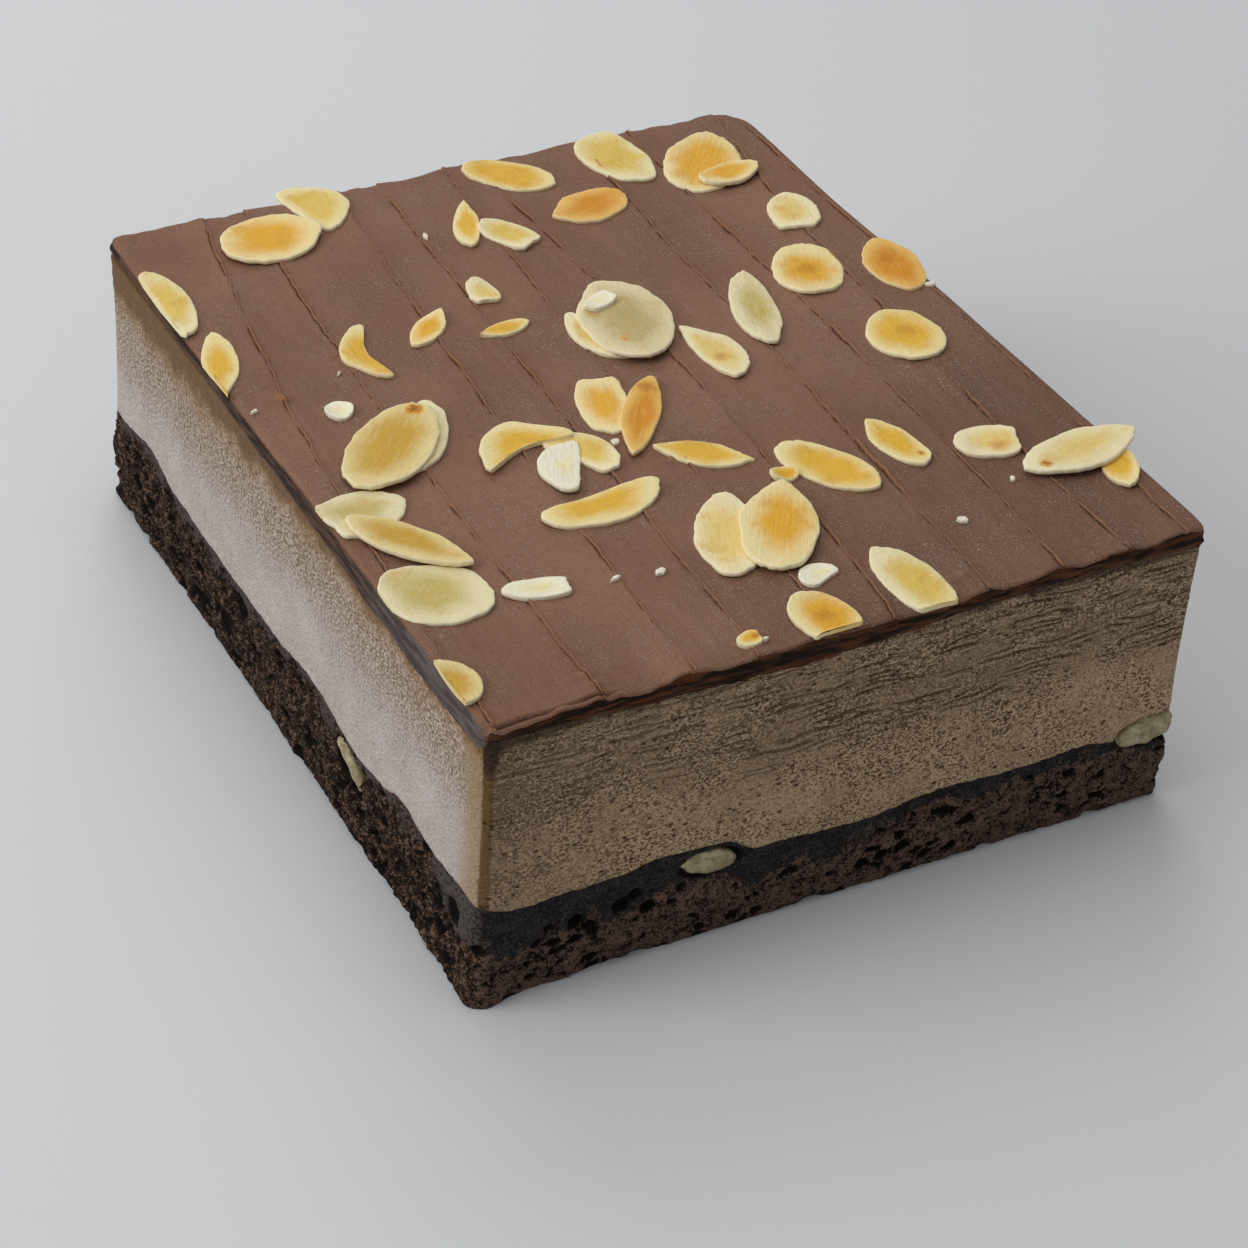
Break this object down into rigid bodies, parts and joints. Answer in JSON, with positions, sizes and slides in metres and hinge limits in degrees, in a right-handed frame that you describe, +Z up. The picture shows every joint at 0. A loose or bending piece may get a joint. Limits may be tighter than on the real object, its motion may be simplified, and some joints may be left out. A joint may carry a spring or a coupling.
{
  "type": "layered brownie slab",
  "caption": "Rectangular cut slab of layered brownie: a dark baked base with walnuts, a tall coffee-coloured mousse layer and a spread chocolate topping strewn with toasted sliced almonds.",
  "frame": {"origin": "centre of the flat underside of the baked base", "axes": "+Z up; +Y from the front cut face to the back one, along the longest side; +X from the left cut face to the right one"},
  "size_m": [0.1351, 0.1618, 0.0576],
  "materials": {
    "baked_base": "stands in for dark baked brownie crumb, matte",
    "mousse": "stands in for cut coffee mousse, matte",
    "topping": "stands in for spread milk chocolate with toasted almond slices, low sheen",
    "walnut": "stands in for walnut flesh, matte"
  },
  "bodies": {
    "root": {"brownie_base": "baked_base", "mousse_layer": "mousse", "chocolate_topping": "topping", "walnut_side": "walnut", "walnut_front": "walnut", "walnut_corner": "walnut"}
  },
  "joints": []
}
